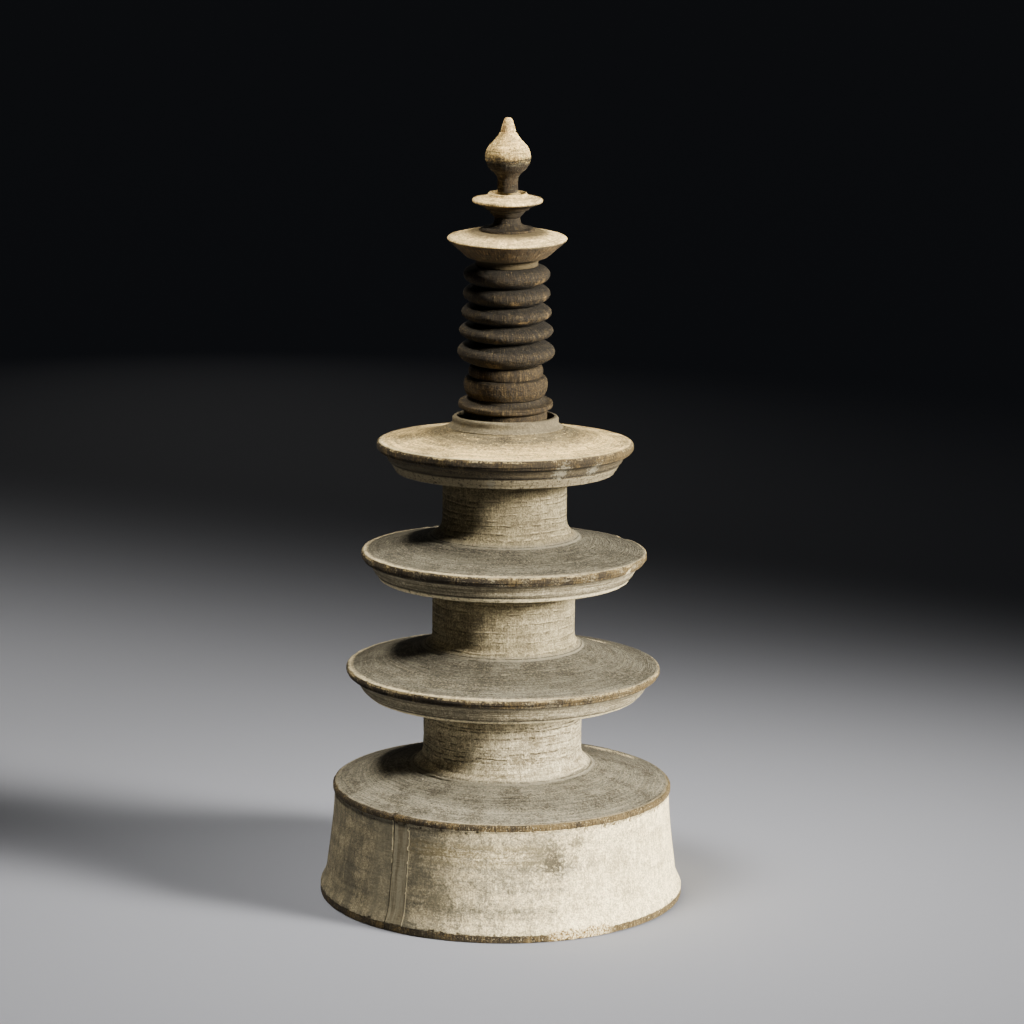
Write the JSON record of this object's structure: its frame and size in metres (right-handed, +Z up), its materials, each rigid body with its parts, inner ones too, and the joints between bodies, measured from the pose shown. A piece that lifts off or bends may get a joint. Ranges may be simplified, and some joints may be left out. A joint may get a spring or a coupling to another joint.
{
  "type": "miniature turned wood pagoda",
  "caption": "Miniature round pagoda of turned wood: drum base, tiered storeys with disc roofs, and a ringed finial with a jewel that plugs a scroll bore. Worn white ground.",
  "frame": {"origin": "middle of the underside of the foot, on the surface that the pagoda stands on", "axes": "+Z up the body's axis; -Y towards the viewer of the picture, the way the loose finial leans"},
  "size_m": [0.1028, 0.1028, 0.2183],
  "materials": {
    "white_ground": "matte worn white mineral ground over turned wood",
    "dusty_ground": "matte white ground greyed by dust, bare brown wood at the rims",
    "streaked_ground": "matte thin ground over fine dark lathe lines",
    "dark_wood": "dark weathered turned wood with worn orange-brown edges",
    "brown_wood": "warm brown bare turned wood, matte"
  },
  "bodies": {
    "pagoda_body": {"base": "white_ground", "first_storey_wall": "streaked_ground", "first_roof": "dusty_ground", "second_storey_wall": "streaked_ground", "second_roof": "dusty_ground", "third_storey_wall": "streaked_ground", "third_roof": "dusty_ground", "socket_collar": "dusty_ground"},
    "finial": {"socket_plug": "brown_wood", "seat_disc": "brown_wood", "lower_bead": "brown_wood", "upper_bead": "brown_wood", "ring_5": "dark_wood", "ring_4": "dark_wood", "ring_3": "dark_wood", "ring_2": "dark_wood", "ring_1": "dark_wood", "canopy": "white_ground", "upper_neck": "brown_wood", "small_disc": "white_ground", "jewel": "white_ground"}
  },
  "joints": [
    {"name": "finial_lift", "type": "slide", "parent": "pagoda_body", "child": "finial", "axis": [0, -0.0785, 0.9969], "range_m": [0, 0.03]}
  ]
}
